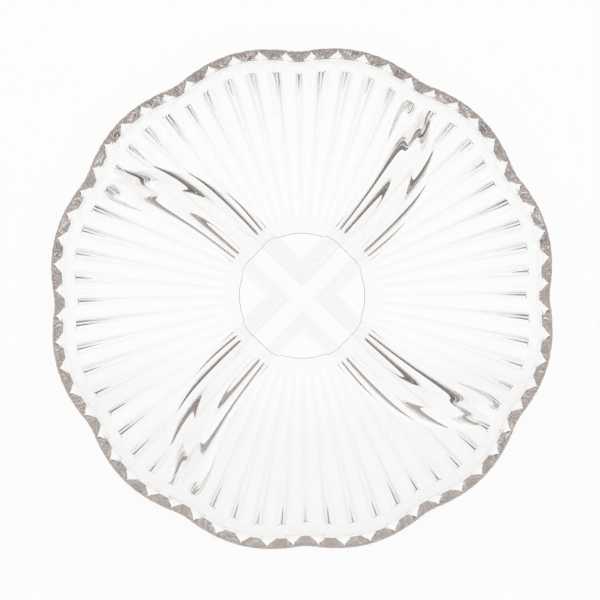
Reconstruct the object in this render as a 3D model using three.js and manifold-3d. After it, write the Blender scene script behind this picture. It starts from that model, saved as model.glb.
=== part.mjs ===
// A crystal snack dish: a plain round foot, four fluted compartments, four swept dividers that meet
// in a cross, and a scalloped rim with a row of triangular notches under its edge.
// Millimetres, +Z up. The origin is on the table, under the middle of the foot.
import * as THREE from "three";
import { mergeGeometries, mergeVertices } from "three/addons/utils/BufferGeometryUtils.js";
import Module from "manifold-3d";

const wasm = await Module();
wasm.setup();

// Overall size
const OVERALL_DIAMETER = 254; // across the crowns of two opposite scallops
const OVERALL_HEIGHT = 43.5; // from the table to the top of the rim

// Scallops, flutes and rim
const SCALLOP_COUNT = 12;
const SCALLOP_DEPTH = 3.5; // how far the outline draws in between two crowns
const SCALLOP_SOFTNESS = 0.12; // 0 would make the meeting of two scallops a sharp corner
const SCALLOP_START_SHARE = 0.47; // of the rim's radius, where the wall starts to follow them
const SCALLOP_FULL_SHARE = 0.9; // and where it follows them all the way
const FLUTES_PER_SCALLOP = 5;
const FLUTE_DEPTH = 3.9; // of a groove at its outer end; it shrinks in step with the radius
const FLUTE_RIM_MARGIN = 3; // plain wall between the outer ends of the flutes and the rim
const FLUTE_FOOT_MARGIN = 0.6; // and between their inner ends and the foot
const FLUTE_END_LENGTH = 0.6; // over which the outer end of a flute runs out
const FLUTE_START_LENGTH = 4; // over which the inner end runs in
const RIM_WIDTH = 6; // of the flat on top of the rim
const RIM_EDGE = 2.3; // height of the upright outer edge, with its rounding
const RIM_ROUNDING = 1.2;
const NOTCH_TIP_MARGIN = 0.6; // between the rim's outer edge and the tip of a notch
const NOTCH_ROOF_LENGTH = 3.6; // from the tip inwards; the back of the notch runs on to the wall
const NOTCH_RISE = 0.75; // rise of a notch's roof per millimetre outwards
const NOTCH_SHARE = 0.6; // share of the flute pitch that a notch takes up where its roof ends
const NOTCH_TAIL_SHARE = 0.5; // of that width, left at the wall

// Bowl
const FLOOR_HEIGHT = 8.5; // from the table to the inside of the floor
const FLOOR_RADIUS = 30; // where the flat floor ends and the wall starts to rise
const WALL_THICKNESS = 7.2; // beside the foot, square to the wall, to the ridges of the flutes
const RIM_THICKNESS = 8.1; // the same beside the rim
const FOOT_RADIUS = 32; // of the flat face that stands on the table
const FOOT_FLARE = 3.5; // how much wider the foot is where it joins the wall

// Dividers
const DIVIDER_COUNT = 4;
const DIVIDER_HEIGHT = 8.5; // above the floor at the middle of the dish
const DIVIDER_FOOT_WIDTH = 24;
const DIVIDER_CREST = 1.2; // rounding of the crest where the two flanks meet
const DIVIDER_FEATHER = 0.5; // the thickness left at the divider's edges
const DIVIDER_BEND_RADIUS = 42; // straight inside this radius, swept outside it
const DIVIDER_RIM_MARGIN = 9; // plain wall between the end of a divider and the rim
const DIVIDER_SWEEP = THREE.MathUtils.degToRad(15);
const DIVIDER_SINK = 4; // power by which the crest sinks towards the outer end
const DIVIDER_TIP_SHARE = 0.35; // width of the outer tip, as a share of the full width

// Fit
const SEAM_GAP = 0.3; // between neighbouring solids

// Sizes that follow from the ones above
const rimRadius = OVERALL_DIAMETER / 2;
const rimInner = rimRadius - RIM_WIDTH;
const footSeam = FOOT_RADIUS + FOOT_FLARE;
const fluteCount = SCALLOP_COUNT * FLUTES_PER_SCALLOP;
const flutePitch = (2 * Math.PI) / fluteCount;
const fluteInner = footSeam + FLUTE_FOOT_MARGIN;
const fluteOuter = rimInner - FLUTE_RIM_MARGIN;
const dividerEnd = rimInner - DIVIDER_RIM_MARGIN;
const bowlRun = rimInner - FLOOR_RADIUS;
const bowlRise = OVERALL_HEIGHT - RIM_ROUNDING - FLOOR_HEIGHT;
const bowlRadius = (bowlRun ** 2 + bowlRise ** 2) / (2 * bowlRise);

// How finely the round forms are divided
const FOOT_SIDES = 72;
const INSIDE_ROWS = 9;
const OUTSIDE_ROWS = 7;
const DIVIDER_STATIONS = 10;
const DIVIDER_ROWS = 16;
const HUB_ROWS = 8;

// The scalloped outline draws in towards the notches; this share of it reaches a given radius.
function scallopShare(radius) {
  const start = rimRadius * SCALLOP_START_SHARE;
  return THREE.MathUtils.smoothstep(radius, start, rimRadius * SCALLOP_FULL_SHARE);
}

// How far the outline draws in at an angle: a row of arches, softened where two of them meet.
function scallopDip(angle) {
  const arch = Math.hypot(Math.sin((angle * SCALLOP_COUNT) / 2), SCALLOP_SOFTNESS);
  const crown = Math.hypot(1, SCALLOP_SOFTNESS);
  return (SCALLOP_DEPTH * (crown - arch)) / (crown - SCALLOP_SOFTNESS);
}

// A point of the dish, from its radius at a crown, its angle and its height.
function at(crownRadius, angle, height) {
  const radius = crownRadius - scallopDip(angle) * scallopShare(crownRadius);
  return new THREE.Vector3(radius * Math.cos(angle), radius * Math.sin(angle), height);
}

// The way back, from a point in plan to its radius at a crown.
function crownRadiusOf(x, y) {
  const radius = Math.hypot(x, y);
  const dip = scallopDip(Math.atan2(y, x));
  let crownRadius = radius;
  for (let pass = 0; pass < 4; pass++) crownRadius = radius + dip * scallopShare(crownRadius);
  return crownRadius;
}

// The inside of the bowl is a flat floor and a circular arc; this is the run along that arc.
function arcRun(radius) {
  const steepest = 0.95 * bowlRadius;
  return THREE.MathUtils.clamp(radius - FLOOR_RADIUS, 0, steepest);
}

function insideHeight(radius) {
  return FLOOR_HEIGHT + bowlRadius - Math.sqrt(bowlRadius ** 2 - arcRun(radius) ** 2);
}

// How much longer an upright measure is than one square to the wall.
function uprightFactor(radius) {
  return 1 / Math.sqrt(1 - (arcRun(radius) / bowlRadius) ** 2);
}

// The outside of the wall: on the ridges of the flutes, or in the grooves between them
function ridgeHeight(radius) {
  const share = THREE.MathUtils.clamp((radius - footSeam) / (rimInner - footSeam), 0, 1);
  const thickness = THREE.MathUtils.lerp(WALL_THICKNESS, RIM_THICKNESS, share);
  return insideHeight(radius) - thickness * uprightFactor(radius);
}

function grooveHeight(radius) {
  const ending = THREE.MathUtils.clamp((fluteOuter - radius) / FLUTE_END_LENGTH, 0, 1);
  const started = fluteInner + FLUTE_START_LENGTH;
  const starting = THREE.MathUtils.smoothstep(radius, fluteInner, started);
  const depth = FLUTE_DEPTH * (radius / fluteOuter) * ending * starting;
  return ridgeHeight(radius) + depth * uprightFactor(radius);
}

// Evenly spaced values, with both ends among them.
function rowsBetween(from, to, count) {
  const rows = [];
  for (let i = 0; i <= count; i++) rows.push(THREE.MathUtils.lerp(from, to, i / count));
  return rows;
}

// Triangles of a flat closed outline.
function capOf(outline) {
  const normal = new THREE.Vector3();
  outline.forEach((point, i) => {
    const next = outline[(i + 1) % outline.length];
    normal.add(new THREE.Vector3().crossVectors(point, next));
  });
  const toPlane = new THREE.Quaternion().setFromUnitVectors(
    normal.normalize(),
    new THREE.Vector3(0, 0, 1),
  );
  const flat = outline.map((point) => {
    const turned = point.clone().applyQuaternion(toPlane);
    return new THREE.Vector2(turned.x, turned.y);
  });
  return THREE.ShapeUtils.triangulateShape(flat, []);
}

// A solid through a row of closed outlines with equally many points. As a ring, the last outline
// joins the first; otherwise both ends are capped.
function loft(outlines, isRing = false) {
  const size = outlines[0].length;
  const index = [];
  const last = isRing ? outlines.length : outlines.length - 1;
  for (let row = 0; row < last; row++) {
    const here = row * size;
    const there = ((row + 1) % outlines.length) * size;
    for (let i = 0; i < size; i++) {
      const next = (i + 1) % size;
      index.push(here + i, here + next, there + next);
      index.push(here + i, there + next, there + i);
    }
  }
  if (!isRing) {
    const end = (outlines.length - 1) * size;
    capOf(outlines[0]).forEach(([a, b, c]) => index.push(a, c, b));
    capOf(outlines.at(-1)).forEach(([a, b, c]) => index.push(end + a, end + b, end + c));
  }
  const geometry = new THREE.BufferGeometry().setFromPoints(outlines.flat());
  return geometry.setIndex(index);
}

// Solids for cutting and joining
function solidOf(geometry) {
  const loose = geometry.index ? geometry.toNonIndexed() : geometry;
  const plain = new THREE.BufferGeometry();
  plain.setAttribute("position", loose.getAttribute("position"));
  const merged = mergeVertices(plain, 1e-4);
  const mesh = new wasm.Mesh({
    numProp: 3,
    vertProperties: merged.getAttribute("position").array,
    triVerts: new Uint32Array(merged.index.array),
  });
  return new wasm.Manifold(mesh);
}

function geometryOf(solid) {
  const mesh = solid.getMesh();
  const geometry = new THREE.BufferGeometry();
  geometry.setAttribute("position", new THREE.BufferAttribute(mesh.vertProperties, 3));
  return geometry.setIndex(new THREE.BufferAttribute(mesh.triVerts, 1));
}

const crystal = new THREE.MeshStandardMaterial({
  name: "crystal",
  color: 0xf2f5f4,
  roughness: 0.05,
  metalness: 0,
  transparent: true,
  opacity: 0.45,
});

const dish = new THREE.Group();
dish.name = "crystal_snack_dish";

function addPiece(name, geometry) {
  const faceted = geometry.toNonIndexed();
  faceted.computeVertexNormals();
  const mesh = new THREE.Mesh(faceted, crystal);
  mesh.name = name;
  dish.add(mesh);
}

// The middle line of divider number k, at a radius. It runs straight out from the middle of the
// dish and then sweeps round, to end at a notch of the rim.
function dividerAngle(k, radius) {
  const bend = (radius - DIVIDER_BEND_RADIUS) / (dividerEnd - DIVIDER_BEND_RADIUS);
  const swept = DIVIDER_SWEEP * THREE.MathUtils.clamp(bend, 0, 1) ** 2;
  return ((k + 0.5) * 2 * Math.PI) / DIVIDER_COUNT + swept;
}

function dividerPoint(k, radius, aside = 0) {
  const place = (r) => {
    const angle = dividerAngle(k, r);
    return new THREE.Vector2(r * Math.cos(angle), r * Math.sin(angle));
  };
  const step = 0.5;
  const along = place(radius + step).sub(place(radius - step)).normalize();
  return place(radius).add(new THREE.Vector2(-along.y, along.x).multiplyScalar(aside));
}

// The share of the divider's height at a distance from its middle line: two plain flanks that
// meet in a narrow rounded crest.
function dividerProfile(aside) {
  const fall = Math.hypot(aside, DIVIDER_CREST) - DIVIDER_CREST;
  const footFall = Math.hypot(DIVIDER_FOOT_WIDTH / 2, DIVIDER_CREST) - DIVIDER_CREST;
  return 1 - fall / footFall;
}

// The share of its full height that is left at a radius, and of its full width
function dividerRise(radius) {
  return 1 - THREE.MathUtils.clamp(radius / dividerEnd, 0, 1) ** DIVIDER_SINK;
}

function dividerSpread(radius) {
  return THREE.MathUtils.lerp(DIVIDER_TIP_SHARE, 1, Math.sqrt(dividerRise(radius)));
}

function dividerThickness(radius, aside) {
  const thickness = DIVIDER_HEIGHT * dividerRise(radius) * dividerProfile(aside);
  return Math.max(thickness, DIVIDER_FEATHER);
}

// Stations across a divider, from its right edge to its left one
const dividerAsides = [];
for (let i = 0; i <= DIVIDER_STATIONS; i++) {
  dividerAsides.push(DIVIDER_FOOT_WIDTH * (i / DIVIDER_STATIONS - 0.5));
}

// The outline of one compartment in plan, as a cutter as tall as the dish. It runs along the
// middle lines of the two dividers beside the compartment.
function compartmentCutter(k) {
  const beyond = rimRadius + RIM_WIDTH;
  const radii = [...rowsBetween(FOOT_RADIUS, dividerEnd, DIVIDER_ROWS), beyond];
  const corners = radii.map((r) => dividerPoint(k, r, SEAM_GAP / 2));
  const from = dividerAngle(k, beyond);
  const arcSteps = SCALLOP_COUNT;
  for (let i = 1; i < arcSteps; i++) {
    const angle = from + ((i / arcSteps) * 2 * Math.PI) / DIVIDER_COUNT;
    corners.push(new THREE.Vector2(beyond * Math.cos(angle), beyond * Math.sin(angle)));
  }
  radii.reverse().forEach((r) => corners.push(dividerPoint(k + 1, r, -SEAM_GAP / 2)));
  const prism = new THREE.ExtrudeGeometry(new THREE.Shape(corners), {
    depth: OVERALL_HEIGHT * 2,
    bevelEnabled: false,
  });
  return solidOf(prism.translate(0, 0, -OVERALL_HEIGHT / 2));
}

// Foot: a plain round disc of glass, flat on the table, that flares a little towards the wall
const footRise = ridgeHeight(footSeam);
function footCircle(radius, height) {
  const circle = [];
  for (let i = 0; i < FOOT_SIDES; i++) {
    const angle = (i * 2 * Math.PI) / FOOT_SIDES;
    circle.push(new THREE.Vector3(radius * Math.cos(angle), radius * Math.sin(angle), height));
  }
  return circle;
}
addPiece(
  "foot_disc",
  loft([
    footCircle(FOOT_RADIUS, 0),
    footCircle(footSeam - SEAM_GAP / 2, footRise),
    footCircle(footSeam - SEAM_GAP / 2, insideHeight(footSeam)),
  ]),
);

// Wall: the bowl between foot and rim. Its inside is smooth. Its outside is folded into flutes,
// with a ridge and a groove in every pitch, that follow the scallops near the rim.
const wallInner = footSeam + SEAM_GAP / 2;
const wallOuter = rimInner - SEAM_GAP / 2;
const insideRows = rowsBetween(wallInner, wallOuter, INSIDE_ROWS);
const outsideRows = [
  wallOuter,
  fluteOuter,
  ...rowsBetween(fluteOuter - FLUTE_END_LENGTH, fluteInner + FLUTE_START_LENGTH, OUTSIDE_ROWS),
  fluteInner + FLUTE_START_LENGTH / 2,
  fluteInner,
  wallInner,
];
const wallSections = [];
for (let i = 0; i < 2 * fluteCount; i++) {
  const angle = (i * flutePitch) / 2;
  const outsideHeight = i % 2 === 0 ? ridgeHeight : grooveHeight;
  const inside = insideRows.map((r) => at(r, angle, insideHeight(r)));
  const outside = outsideRows.map((r) => at(r, angle, outsideHeight(r)));
  wallSections.push([...outside, ...inside]);
}
const wall = solidOf(loft(wallSections, true));

// Rim: the flat top edge of the wall. It runs out to the scalloped outline, and a steep slope
// leads from there back down to the wall.
const rimFoot = ridgeHeight(rimInner);
const rimEdgeFoot = OVERALL_HEIGHT - RIM_EDGE;
const roundingMiddle = RIM_ROUNDING * (1 - Math.SQRT1_2);
const rimProfile = [
  [rimRadius, rimEdgeFoot],
  [rimInner + SEAM_GAP / 2, rimFoot],
  [rimInner + SEAM_GAP / 2, OVERALL_HEIGHT - RIM_ROUNDING],
  [rimInner + RIM_ROUNDING, OVERALL_HEIGHT],
  [rimRadius - RIM_ROUNDING, OVERALL_HEIGHT],
  [rimRadius - roundingMiddle, OVERALL_HEIGHT - roundingMiddle],
  [rimRadius, OVERALL_HEIGHT - RIM_ROUNDING],
];
const rimSections = [];
for (let i = 0; i < 2 * fluteCount; i++) {
  rimSections.push(rimProfile.map(([r, height]) => at(r, (i * flutePitch) / 2, height)));
}
const plainRim = solidOf(loft(rimSections, true));

// Notches: one under the rim at the end of every flute. It is pointed at the outer edge, widens
// under a sloping roof, and narrows again where its back runs down to the wall.
const rimSlope = (rimEdgeFoot - rimFoot) / RIM_WIDTH;
const tipRadius = rimRadius - NOTCH_TIP_MARGIN;
const tipHeight = rimEdgeFoot - NOTCH_TIP_MARGIN * rimSlope;
const roofEnd = tipRadius - NOTCH_ROOF_LENGTH;
const roofEndHeight = tipHeight - NOTCH_ROOF_LENGTH * NOTCH_RISE;
function notchCutter(number) {
  const middle = (number + 0.5) * flutePitch;
  const half = (NOTCH_SHARE * flutePitch) / 2;
  const tail = half * NOTCH_TAIL_SHARE;
  const roof = [
    at(tipRadius, middle, tipHeight),
    at(roofEnd, middle + half, roofEndHeight),
    at(rimInner, middle + tail, rimFoot),
    at(rimInner, middle - tail, rimFoot),
    at(roofEnd, middle - half, roofEndHeight),
  ];
  const below = roof.map((point) => new THREE.Vector3(point.x, point.y, rimFoot - RIM_WIDTH));
  return loft([below, roof]);
}
const notches = [];
for (let number = 0; number < fluteCount; number++) notches.push(notchCutter(number));
const rim = plainRim.subtract(solidOf(mergeGeometries(notches)));

// The wall and the rim belong to four compartments, which meet under the dividers.
const compartments = ["north", "west", "south", "east"];
compartments.forEach((name, k) => {
  const cutter = compartmentCutter(k);
  addPiece(name + "_wall", geometryOf(wall.intersect(cutter)));
  addPiece(name + "_rim", geometryOf(rim.intersect(cutter)));
});

// Divider hub: the cross of two straight ridges on the floor
const hubReach = footSeam - SEAM_GAP / 2;
const hubSeat = insideHeight(hubReach) + SEAM_GAP;
function hubBar(k) {
  const outlines = rowsBetween(-hubReach, hubReach, HUB_ROWS).map((reach) => {
    const crest = dividerAsides.map((aside) => {
      const place = dividerPoint(k, Math.abs(reach), Math.sign(reach || 1) * aside);
      const turned = reach < 0 ? place.negate() : place;
      const top = hubSeat + dividerThickness(Math.abs(reach), aside);
      return new THREE.Vector3(turned.x, turned.y, top);
    });
    const base = crest.map((point) => new THREE.Vector3(point.x, point.y, hubSeat));
    return [...base, ...crest.reverse()];
  });
  return solidOf(loft(outlines));
}
addPiece("divider_hub", geometryOf(hubBar(0).add(hubBar(1))));

// Dividers: swept ridges on the inside of the wall, highest at the hub and gone before the rim
function dividerArm(k) {
  const outlines = rowsBetween(wallInner, dividerEnd, DIVIDER_ROWS).map((radius) => {
    const base = [];
    const crest = [];
    dividerAsides.forEach((aside) => {
      const place = dividerPoint(k, radius, aside * dividerSpread(radius));
      const crownRadius = crownRadiusOf(place.x, place.y);
      const seat = insideHeight(crownRadius) + SEAM_GAP * uprightFactor(crownRadius);
      base.push(new THREE.Vector3(place.x, place.y, seat));
      crest.push(new THREE.Vector3(place.x, place.y, seat + dividerThickness(radius, aside)));
    });
    return [...base, ...crest.reverse()];
  });
  return loft(outlines);
}
const dividers = ["north_east", "north_west", "south_west", "south_east"];
dividers.forEach((name, k) => addPiece(name + "_divider", dividerArm(k)));

export default dish;
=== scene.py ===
# A crystal snack dish: one pressing of clear glass, seen from almost straight above on a pale
# floor. Metres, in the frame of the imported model.
import math

import bpy
import numpy as np
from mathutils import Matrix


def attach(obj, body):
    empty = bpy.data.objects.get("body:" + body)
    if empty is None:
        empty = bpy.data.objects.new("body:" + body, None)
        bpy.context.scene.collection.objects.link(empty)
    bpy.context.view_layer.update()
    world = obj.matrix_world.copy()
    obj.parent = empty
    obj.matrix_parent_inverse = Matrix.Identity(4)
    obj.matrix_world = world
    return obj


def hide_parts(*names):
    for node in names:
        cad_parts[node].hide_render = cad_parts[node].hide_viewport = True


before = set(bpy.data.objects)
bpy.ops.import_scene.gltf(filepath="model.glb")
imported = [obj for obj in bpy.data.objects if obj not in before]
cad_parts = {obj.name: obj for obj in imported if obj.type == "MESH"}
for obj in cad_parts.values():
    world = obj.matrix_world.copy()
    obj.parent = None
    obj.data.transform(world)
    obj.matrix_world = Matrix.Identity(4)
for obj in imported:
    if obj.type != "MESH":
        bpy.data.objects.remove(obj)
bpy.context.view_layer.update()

# Blank. The real dish is pressed from one gob of clear glass, so foot, wall, dividers and rim are
# one continuous body. It starts as the plain round blank that a mould with no pattern would give:
# half a section, drawn point by point and spun round the middle of the dish.
CROWN_RADIUS = 0.127  # to the crown of a scallop
HEIGHT = 0.0435
FLOOR_HEIGHT = 0.0085  # inside of the floor
FLOOR_RADIUS = 0.030  # where the wall starts to rise
FOOT_RADIUS = 0.032
FOOT_FLARE = 0.0035  # from the edge of the foot out to the wall
FOOT_CORNER = ((0.0004, 0.00044), (0.0002, 0.0003), (0, 0))  # out from the foot's edge, and up
FOOT_RINGS = (0.8, 0.5, 0.2, 0)  # rows of its flat underside, as shares of its radius
WALL_THICKNESS = 0.0072  # beside the foot, to the ridges of the flutes
RIM_THICKNESS = 0.0074  # beside the rim
RIM_WIDTH = 0.006
RIM_EDGE = 0.0023  # upright outer edge, with its rounding
RIM_ROUNDING = 0.0012
RIM_INNER_TURNS = np.radians((0, 30, 60, 90))  # steps of the rounding towards the bowl
RIM_OUTER_TURNS = np.radians((0, 22, 45, 67, 90))  # and of the one towards the outer edge
INSIDE_MARGIN = 0.0004  # between the last row of the bowl's inside and the rim
INSIDE_ROWS = 96
COLUMNS = 600  # steps round the dish
SAME_POINT = 1e-6  # points closer than this are one

rim_inner = CROWN_RADIUS - RIM_WIDTH
foot_seam = FOOT_RADIUS + FOOT_FLARE
bowl_run = rim_inner - FLOOR_RADIUS
bowl_rise = HEIGHT - RIM_ROUNDING - FLOOR_HEIGHT
bowl_radius = (bowl_run**2 + bowl_rise**2) / (2 * bowl_rise)


def inside_height(radius):
    """The inside of the bowl: a flat floor and a circular arc up to the rim."""
    run = np.clip(radius - FLOOR_RADIUS, 0, bowl_run)
    return FLOOR_HEIGHT + bowl_radius - np.sqrt(bowl_radius**2 - run**2)


def upright(radius):
    """How much longer an upright measure is than one square to the wall."""
    run = np.clip(radius - FLOOR_RADIUS, 0, bowl_run)
    return 1 / np.sqrt(1 - (run / bowl_radius) ** 2)


def outside_height(radius):
    """The outside of the wall before it is fluted. The glass thickens towards the rim."""
    share = np.clip((radius - foot_seam) / (rim_inner - foot_seam), 0, 1)
    thickness = WALL_THICKNESS + (RIM_THICKNESS - WALL_THICKNESS) * share
    return inside_height(radius) - thickness * upright(radius)


# The notches under the rim and the flutes set where the blank needs rows of points.
NOTCH_TIP = 0.17  # where a notch begins, as a share of the rim's width, from its outer edge
NOTCH_REACH = 0.7  # where its roof ends and its back starts
NOTCH_BACK = 0.72  # where its back is down on the slope again
NOTCH_ROWS = 5
FLUTE_RIM_MARGIN = 0.003  # plain wall between the rim and the ends of the flutes
FLUTE_FOOT_MARGIN = 0.0006  # and between the foot and their beginnings
FLUTE_END = 0.0006  # over which the outer end of a flute runs out
FLUTE_START = 0.004  # over which a flute deepens, beside the foot
FLUTE_MARGIN_ROWS = 4
FLUTE_END_ROWS = 3
FLUTE_ROWS = 18
FLUTE_START_ROWS = 5

rim_edge_foot = HEIGHT - RIM_EDGE
rim_foot = outside_height(rim_inner)
flute_outer = rim_inner - FLUTE_RIM_MARGIN
flute_inner = foot_seam + FLUTE_FOOT_MARGIN
full_outer = flute_outer - FLUTE_END
full_inner = flute_inner + FLUTE_START

section = []
for radius in np.linspace(0, rim_inner - INSIDE_MARGIN, INSIDE_ROWS):
    section.append((radius, inside_height(radius)))

# The top of the rim is a flat between two roundings.
for turn in RIM_INNER_TURNS:
    radius = rim_inner + RIM_ROUNDING * (1 - math.cos(turn))
    section.append((radius, HEIGHT - RIM_ROUNDING * (1 - math.sin(turn))))
section.append((rim_inner + RIM_WIDTH / 2, HEIGHT))
for turn in RIM_OUTER_TURNS:
    radius = CROWN_RADIUS - RIM_ROUNDING * (1 - math.sin(turn))
    section.append((radius, HEIGHT - RIM_ROUNDING * (1 - math.cos(turn))))
section.append((CROWN_RADIUS, rim_edge_foot))

# A slope leads back under the rim to the wall. The notches will be pressed into it.
notch_rows = {}
for share in [*np.linspace(NOTCH_TIP, NOTCH_REACH, NOTCH_ROWS), NOTCH_BACK, 1]:
    if share <= NOTCH_REACH:
        notch_rows[len(section)] = share
    slope_height = rim_edge_foot + (rim_foot - rim_edge_foot) * share
    section.append((CROWN_RADIUS - RIM_WIDTH * share, slope_height))

# The outside of the wall runs down to the foot, with rows closer together where the flutes end.
outside_start = len(section)
outside_radii = [
    *np.linspace(rim_inner, flute_outer, FLUTE_MARGIN_ROWS)[1:-1],
    *np.linspace(flute_outer, full_outer, FLUTE_END_ROWS),
    *np.linspace(full_outer, full_inner, FLUTE_ROWS)[1:-1],
    *np.linspace(full_inner, flute_inner, FLUTE_START_ROWS),
]
for radius in outside_radii:
    section.append((radius, outside_height(radius)))
outside_end = len(section)

# The foot is a low step with a small corner and a flat underside.
step_height = outside_height(foot_seam)
section.append((foot_seam, step_height))
section.append(((FOOT_RADIUS + foot_seam) / 2, step_height / 2))
for out, up in FOOT_CORNER:
    section.append((FOOT_RADIUS + out, up))
for share in FOOT_RINGS:
    section.append((FOOT_RADIUS * share, 0))

bpy.ops.object.select_all(action="DESELECT")
bpy.ops.mesh.primitive_plane_add(size=CROWN_RADIUS)
dish = bpy.context.object
dish.name = "dish_glass"
bpy.ops.object.mode_set(mode="EDIT")
bpy.ops.mesh.select_all(action="SELECT")
bpy.ops.mesh.merge(type="CENTER")
bpy.ops.transform.translate(value=(section[0][0], 0, section[0][1]))
for (from_radius, from_height), (to_radius, to_height) in zip(section, section[1:]):
    move = (to_radius - from_radius, 0, to_height - from_height)
    bpy.ops.mesh.extrude_region_move(TRANSFORM_OT_translate={"value": move})
bpy.ops.mesh.select_all(action="SELECT")
bpy.ops.mesh.spin(
    steps=COLUMNS,
    angle=2 * math.pi,
    center=(0, 0, 0),
    axis=(0, 0, 1),
    use_auto_merge=True,
)
bpy.ops.mesh.select_all(action="SELECT")
bpy.ops.mesh.remove_doubles(threshold=SAME_POINT)
bpy.ops.object.mode_set(mode="OBJECT")

points = np.zeros(3 * len(dish.data.vertices))
dish.data.vertices.foreach_get("co", points)
points = points.reshape(-1, 3)

# Every point of the blank knows its row in the section and its column round the dish.
blank_radius = np.hypot(points[:, 0], points[:, 1])
column = np.round(np.arctan2(points[:, 1], points[:, 0]) / (2 * math.pi) * COLUMNS)
angle = column * 2 * math.pi / COLUMNS
row = np.zeros(len(points), int)
nearest = np.full(len(points), np.inf)
for number, (row_radius, row_height) in enumerate(section):
    distance = np.hypot(blank_radius - row_radius, points[:, 2] - row_height)
    row = np.where(distance < nearest, number, row)
    nearest = np.minimum(distance, nearest)
section_points = np.array(section)
crown_radius = section_points[row, 0]
height = section_points[row, 1].copy()

# Rim notches. The mould leaves one triangular notch under the rim at the end of every flute. It
# points at the outer edge, and has a gently sloping roof and an upright back, short of the wall.
FLUTES = 60
NOTCH_SHARE = 0.6  # of the flute pitch, at the notch's inner end
NOTCH_CURVE = 1.6  # 1 would make the notch's sides straight
NOTCH_ROOF = 0.75  # fall of the roof per metre inwards
NOTCH_SIDE = math.radians(0.03)  # half of the angle that each of its upright sides takes up

pitch = 2 * math.pi / FLUTES
steps = COLUMNS // FLUTES
half_steps = steps // 2
step_in_pitch = column % steps
from_tooth = np.minimum(step_in_pitch, steps - step_in_pitch)
turn_sense = np.where(step_in_pitch <= half_steps, 1, -1)
tooth_middle = np.where(turn_sense > 0, column - step_in_pitch, column - step_in_pitch + steps)
roof_start = rim_edge_foot + (rim_foot - rim_edge_foot) * NOTCH_TIP
roof_end = roof_start - (NOTCH_REACH - NOTCH_TIP) * RIM_WIDTH * NOTCH_ROOF
for number, share in notch_rows.items():
    wide = (share - NOTCH_TIP) / (NOTCH_REACH - NOTCH_TIP)
    half = NOTCH_SHARE * pitch / 2 * wide**NOTCH_CURVE + NOTCH_SIDE
    edge = pitch / 2 - half
    on_tooth = [0, edge / 2, edge - NOTCH_SIDE]
    on_notch = [edge + NOTCH_SIDE, edge + half / 2, pitch / 2]
    slid = turn_sense * np.interp(from_tooth, range(half_steps + 1), on_tooth + on_notch)
    roof = roof_start + (roof_end - roof_start) * wide
    in_row = row == number
    angle = np.where(in_row, tooth_middle * pitch / steps + slid, angle)
    height = np.where(in_row & (from_tooth >= len(on_tooth)), roof, height)

# Flutes. The mould presses sixty grooves up the outside of the wall, with sharp ridges between
# them. Their flanks lean so that light only just passes them, and is thrown back where the wall
# is steep.
FLANK_LEAN = math.radians(28.5)  # on average, from ridge to valley
FLANK_END_LEAN = math.radians(3.2)  # added to that at the outer ends
FLANK_END_POWER = 7  # a higher one keeps the added lean closer to the ends
FLANK_CURVE = 0.33  # how much steeper than the average a flank is at its ridge


def eased(share):
    """A share from 0 to 1 that sets out and arrives gently."""
    return share * share * (3 - 2 * share)


phase = np.abs((angle / pitch + 0.5) % 1 - 0.5) * 2  # 0 on a ridge, 1 in a valley
fold = phase + FLANK_CURVE * phase * (1 - phase)
run_out = np.clip((flute_outer - crown_radius) / FLUTE_END, 0, 1)
run_in = np.clip((crown_radius - flute_inner) / FLUTE_START, 0, 1)
way_out = np.clip((crown_radius - flute_inner) / (flute_outer - flute_inner), 0, 1)
flank_lean = FLANK_LEAN + FLANK_END_LEAN * way_out**FLANK_END_POWER
depth = np.tan(flank_lean) * crown_radius * pitch / 2 * run_out * eased(run_in)
on_outside = (row >= outside_start) & (row < outside_end)
height += np.where(on_outside, fold * depth * upright(crown_radius), 0)

# Scallops. Twelve arches of the mould make the outline, and the wall follows them, less and less,
# down to about half way to the middle.
SCALLOPS = 12
SCALLOP_DEPTH = 0.0035
SCALLOP_SOFTNESS = 0.12  # 0 would make the meeting of two arches a sharp corner
SCALLOP_FADE = (0.47, 0.9)  # of the crown radius: where the scallops begin and are full

fade_from, fade_to = (share * CROWN_RADIUS for share in SCALLOP_FADE)
fade = np.clip((crown_radius - fade_from) / (fade_to - fade_from), 0, 1)
arch = np.hypot(np.sin(angle * SCALLOPS / 2), SCALLOP_SOFTNESS)
crown = math.hypot(1, SCALLOP_SOFTNESS)
dip = SCALLOP_DEPTH * (crown - arch) / (crown - SCALLOP_SOFTNESS)
radius = crown_radius - dip * eased(fade)

# Dividers. Four ridges of the same glass, pressed by grooves in the plunger, start from a cross on
# the floor, sweep round and sink into the wall before the rim. Each has a flat top between two
# hollow flanks.
DIVIDERS = 4
DIVIDER_HEIGHT = 0.0085
DIVIDER_FOOT_WIDTH = 0.026
DIVIDER_TOP_WIDTH = 0.007  # of the flat along the top
DIVIDER_CREST = 0.002  # rounding beside the flat
DIVIDER_HOLLOW = 1.2  # 1 would make the flanks plain, more makes them steeper towards the top
DIVIDER_BEND_RADIUS = 0.042  # straight inside this radius
DIVIDER_RIM_MARGIN = 0.009  # plain wall between a divider's end and the rim
DIVIDER_SWEEP = math.radians(15)
DIVIDER_SINK = 6  # a higher one keeps the top up farther out
DIVIDER_TIP_SHARE = 0.35  # of its width that is left at a divider's end

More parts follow.
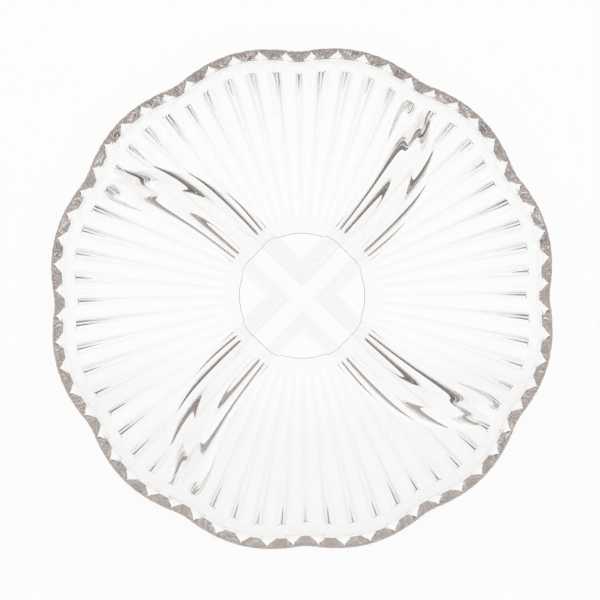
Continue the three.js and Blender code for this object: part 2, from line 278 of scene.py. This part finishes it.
divider_end = rim_inner - DIVIDER_RIM_MARGIN
left = 1 - np.clip(radius / divider_end, 0, 1) ** DIVIDER_SINK
spread = DIVIDER_TIP_SHARE + (1 - DIVIDER_TIP_SHARE) * np.sqrt(left)
bend_length = divider_end - DIVIDER_BEND_RADIUS
bend = np.clip((radius - DIVIDER_BEND_RADIUS) / bend_length, 0, 1)
lean = DIVIDER_SWEEP * 2 * bend / bend_length * radius
flank_width = (DIVIDER_FOOT_WIDTH - DIVIDER_TOP_WIDTH) / 2
foot_fall = math.hypot(flank_width, DIVIDER_CREST) - DIVIDER_CREST
rise = np.zeros(len(points))
for number in range(DIVIDERS):
    middle = (number + 0.5) * 2 * math.pi / DIVIDERS + DIVIDER_SWEEP * bend**2
    off = (angle - middle + math.pi) % (2 * math.pi) - math.pi
    aside = np.abs(radius * np.sin(off)) / np.sqrt(1 + lean**2) / spread
    past_top = np.maximum(aside - DIVIDER_TOP_WIDTH / 2, 0)
    fall = np.hypot(past_top, DIVIDER_CREST) - DIVIDER_CREST
    ridge = DIVIDER_HEIGHT * left * np.clip(1 - fall / foot_fall, 0, 1) ** DIVIDER_HOLLOW
    rise = np.maximum(rise, np.where(np.abs(off) < math.pi / 2, ridge, 0))
height += np.where(row < INSIDE_ROWS, rise, 0)

# The whole pattern goes onto the blank. Edges that turn more than this stay sharp.
SHARP_TURN = math.radians(28)

pressed = np.stack([radius * np.cos(angle), radius * np.sin(angle), height], axis=1)
dish.data.vertices.foreach_set("co", pressed.ravel())
bpy.ops.object.mode_set(mode="EDIT")
bpy.ops.mesh.select_all(action="SELECT")
bpy.ops.mesh.normals_make_consistent(inside=False)
bpy.ops.object.mode_set(mode="OBJECT")
bpy.ops.object.shade_smooth_by_angle(angle=SHARP_TURN)


# Crystal. Clear, colourless glass with a fire-polished skin. Up close it has a faint ripple from
# the mould and a few handling marks, and the underside of the foot is scuffed by the table.
class Wire:
    """A socket of a node tree. Sums on wires add Math nodes."""

    def __init__(self, tree, socket):
        self.tree = tree
        self.socket = socket

    @classmethod
    def node(cls, tree, kind, settings=None, sockets=None, output=0):
        made = tree.nodes.new(kind)
        for name, value in (settings or {}).items():
            setattr(made, name, value)
        for name, value in (sockets or {}).items():
            if isinstance(value, Wire):
                tree.links.new(value.socket, made.inputs[name])
            else:
                made.inputs[name].default_value = value
        return cls(tree, made.outputs[output] if made.outputs else None)

    def maths(self, operation, first, second):
        return Wire.node(
            self.tree, "ShaderNodeMath", {"operation": operation}, {0: first, 1: second}
        )

    def __add__(self, other):
        return self.maths("ADD", self, other)

    def __radd__(self, other):
        return self.maths("ADD", other, self)

    def __sub__(self, other):
        return self.maths("SUBTRACT", self, other)

    def __rsub__(self, other):
        return self.maths("SUBTRACT", other, self)

    def __mul__(self, other):
        return self.maths("MULTIPLY", self, other)

    def __rmul__(self, other):
        return self.maths("MULTIPLY", other, self)

    def most(self, other):
        return self.maths("MAXIMUM", self, other)

    def between(self, start, full, easing="LINEAR"):
        """0 up to the start, 1 from full on, and a share in between."""
        return Wire.node(
            self.tree,
            "ShaderNodeMapRange",
            {"interpolation_type": easing},
            {"Value": self, "From Min": start, "From Max": full},
        )


GLASS_IOR = 1.52
GLASS_TINT = (0.99, 0.99, 0.99, 1)
GLASS_BODY = (0.80, 0.73, 0.68, 1)  # what long ways through the glass tend to
GLASS_DENSITY = 5.0  # per metre
RIPPLE_SCALE = 120.0  # per metre
RIPPLE_DETAIL = 2.0
RIPPLE_DEPTH = 0.00001
MARK_SCALE = 90.0  # per metre
MARK_DETAIL = 4.0
MARK_RANGE = (0.55, 0.75)  # of the noise: where a mark begins, and is full
MARK_ROUGHNESS = 0.03
SCUFF_HEIGHT = 0.0001  # what is lower than this rubs on the table
SCUFF_ROUGHNESS = 0.3

glass = bpy.data.materials.new("crystal_glass")
glass.use_nodes = True
tree = glass.node_tree
tree.nodes.clear()
place = Wire.node(tree, "ShaderNodeTexCoord", output="Object")
ripple = Wire.node(
    tree,
    "ShaderNodeTexNoise",
    sockets={"Vector": place, "Scale": RIPPLE_SCALE, "Detail": RIPPLE_DETAIL},
)
skin = Wire.node(
    tree,
    "ShaderNodeBump",
    sockets={"Height": ripple, "Strength": 1.0, "Distance": RIPPLE_DEPTH},
)
noise = Wire.node(
    tree,
    "ShaderNodeTexNoise",
    sockets={"Vector": place, "Scale": MARK_SCALE, "Detail": MARK_DETAIL},
)
marks = noise.between(*MARK_RANGE)
height_here = Wire.node(tree, "ShaderNodeSeparateXYZ", sockets={"Vector": place}, output="Z")
at_table = height_here.between(SCUFF_HEIGHT, 0.0)
roughness = (marks * MARK_ROUGHNESS).most(at_table * marks * SCUFF_ROUGHNESS)
surface = Wire.node(
    tree,
    "ShaderNodeBsdfPrincipled",
    sockets={
        "Base Color": GLASS_TINT,
        "Roughness": roughness,
        "IOR": GLASS_IOR,
        "Transmission Weight": 1.0,
        "Normal": skin,
    },
)
body = Wire.node(
    tree, "ShaderNodeVolumeAbsorption", sockets={"Color": GLASS_BODY, "Density": GLASS_DENSITY}
)
Wire.node(tree, "ShaderNodeOutputMaterial", sockets={"Surface": surface, "Volume": body})
dish.data.materials.append(glass)

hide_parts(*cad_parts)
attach(dish, "root")

# Floor. A plain pale table. What the camera sees of it, and what shows through or in the glass,
# is mostly its own white, so that only a soft shadow is left of the lamp's light.
FLOOR_SIZE = 8.0
FLOOR_DROP = 0.0002  # below the foot
FLOOR_COLOUR = (0.9, 0.9, 0.9, 1)
FLOOR_SEEN = 0.93  # share of its own white, straight from the camera
FLOOR_THROUGH_GLASS = 1.0  # and by way of the glass
WHITE = (1, 1, 1, 1)

bpy.ops.object.select_all(action="DESELECT")
bpy.ops.mesh.primitive_plane_add(size=FLOOR_SIZE, location=(0, 0, -FLOOR_DROP))
floor = bpy.context.object
floor.name = "floor"
table = bpy.data.materials.new("pale_table")
table.use_nodes = True
tree = table.node_tree
tree.nodes.clear()
seen = Wire.node(tree, "ShaderNodeLightPath", output="Is Camera Ray")
mirrored = Wire.node(tree, "ShaderNodeLightPath", output="Is Glossy Ray")
through = Wire.node(tree, "ShaderNodeLightPath", output="Is Transmission Ray")
own_share = (seen * FLOOR_SEEN).most(mirrored.most(through) * FLOOR_THROUGH_GLASS)
lit = Wire.node(tree, "ShaderNodeBsdfDiffuse", sockets={"Color": FLOOR_COLOUR})
own = Wire.node(tree, "ShaderNodeEmission", sockets={"Color": WHITE, "Strength": 1.0})
table_top = Wire.node(tree, "ShaderNodeMixShader", sockets={0: own_share, 1: lit, 2: own})
Wire.node(tree, "ShaderNodeOutputMaterial", sockets={"Surface": table_top})
floor.data.materials.append(table)

# Light. A dim warm room, brighter towards a window in the north and white on the ceiling straight
# overhead, so that glass edges read dark or pale against the white floor as they look into it. A
# wide soft lamp hangs overhead and doesn't show in the glass.
ROOM_DIM = (0.19, 0.16, 0.15, 1)
ROOM_BRIGHT = (0.42, 0.38, 0.36, 1)
WINDOW_SIDE = math.radians(82)  # from +X
WINDOW_EDGE = (-0.2, 0.45)  # how far towards the window the room starts to brighten, and is bright
CEILING_EDGE = (0.95, 0.99)  # how far upwards the white ceiling starts, and is full
PALE_EDGE = (0.1, 0.5)  # how far north the white that the glass mirrors starts to fade, and is gone
LAMP_SIZE = 1.6
LAMP_HEIGHT = 1.8
LAMP_NORTH = 0.3
LAMP_POWER = 22.0

# A Mix node has a set of sockets for each kind of value. These are the ones for colours.
MIX_FIRST = 6
MIX_SECOND = 7
MIX_RESULT = 2


def colour_mix(share, first, second):
    """The first colour where the share is 0, the second where it is 1."""
    return Wire.node(
        share.tree,
        "ShaderNodeMix",
        {"data_type": "RGBA"},
        {"Factor": share, MIX_FIRST: first, MIX_SECOND: second},
        MIX_RESULT,
    )


room = bpy.data.worlds.new("warm_room")
bpy.context.scene.world = room
room.use_nodes = True
tree = room.node_tree
tree.nodes.clear()
looking = Wire.node(tree, "ShaderNodeTexCoord", output="Generated")
east, north, up = (
    Wire.node(tree, "ShaderNodeSeparateXYZ", sockets={"Vector": looking}, output=axis)
    for axis in "XYZ"
)
to_window = east * math.cos(WINDOW_SIDE) + north * math.sin(WINDOW_SIDE)
walls = colour_mix(to_window.between(*WINDOW_EDGE, "SMOOTHSTEP"), ROOM_DIM, ROOM_BRIGHT)
colour = colour_mix(up.between(*CEILING_EDGE, "SMOOTHSTEP"), walls, WHITE)
dim_room = Wire.node(tree, "ShaderNodeBackground", sockets={"Color": colour, "Strength": 1.0})
pale = 1 - north.between(*PALE_EDGE)
pale_room = Wire.node(tree, "ShaderNodeBackground", sockets={"Color": WHITE, "Strength": pale})
mirrored = Wire.node(tree, "ShaderNodeLightPath", output="Is Glossy Ray")
through = Wire.node(tree, "ShaderNodeLightPath", output="Is Transmission Ray")
room_light = Wire.node(
    tree, "ShaderNodeMixShader", sockets={0: mirrored - through, 1: dim_room, 2: pale_room}
)
Wire.node(tree, "ShaderNodeOutputWorld", sockets={"Surface": room_light})

bpy.ops.object.select_all(action="DESELECT")
bpy.ops.object.light_add(type="AREA", location=(0, LAMP_NORTH, LAMP_HEIGHT))
lamp = bpy.context.object
lamp.name = "overhead_lamp"
lamp.data.shape = "SQUARE"
lamp.data.size = LAMP_SIZE
lamp.data.energy = LAMP_POWER
lamp.visible_glossy = False
lamp.visible_transmission = False
lamp.visible_camera = False

# Camera. Almost straight above, leaning three degrees towards the top of the picture, with the
# dish as large in the picture as it is in the photo.
CAMERA_DISTANCE = 1.4  # from the middle of the dish, at the height of its rim
CAMERA_LEAN = math.radians(3)
CAMERA_ROLL = math.radians(-0.83)
FRAME_WIDTH = 0.2988  # of the dish's plane in the picture
SENSOR = 36.0  # millimetres, as the lens is

bpy.ops.object.camera_add(
    location=(
        0,
        CAMERA_DISTANCE * math.sin(CAMERA_LEAN),
        CAMERA_DISTANCE * math.cos(CAMERA_LEAN) + HEIGHT,
    ),
    rotation=(-CAMERA_LEAN, 0, CAMERA_ROLL),
)
camera = bpy.context.object
camera.data.sensor_width = SENSOR
camera.data.lens = SENSOR * CAMERA_DISTANCE / FRAME_WIDTH
bpy.context.scene.camera = camera
bpy.context.scene.view_settings.view_transform = "Standard"

# Light crosses this glass many times before it leaves it.
CROSSINGS = 24
bpy.context.scene.cycles.max_bounces = CROSSINGS
bpy.context.scene.cycles.glossy_bounces = CROSSINGS
bpy.context.scene.cycles.transmission_bounces = CROSSINGS
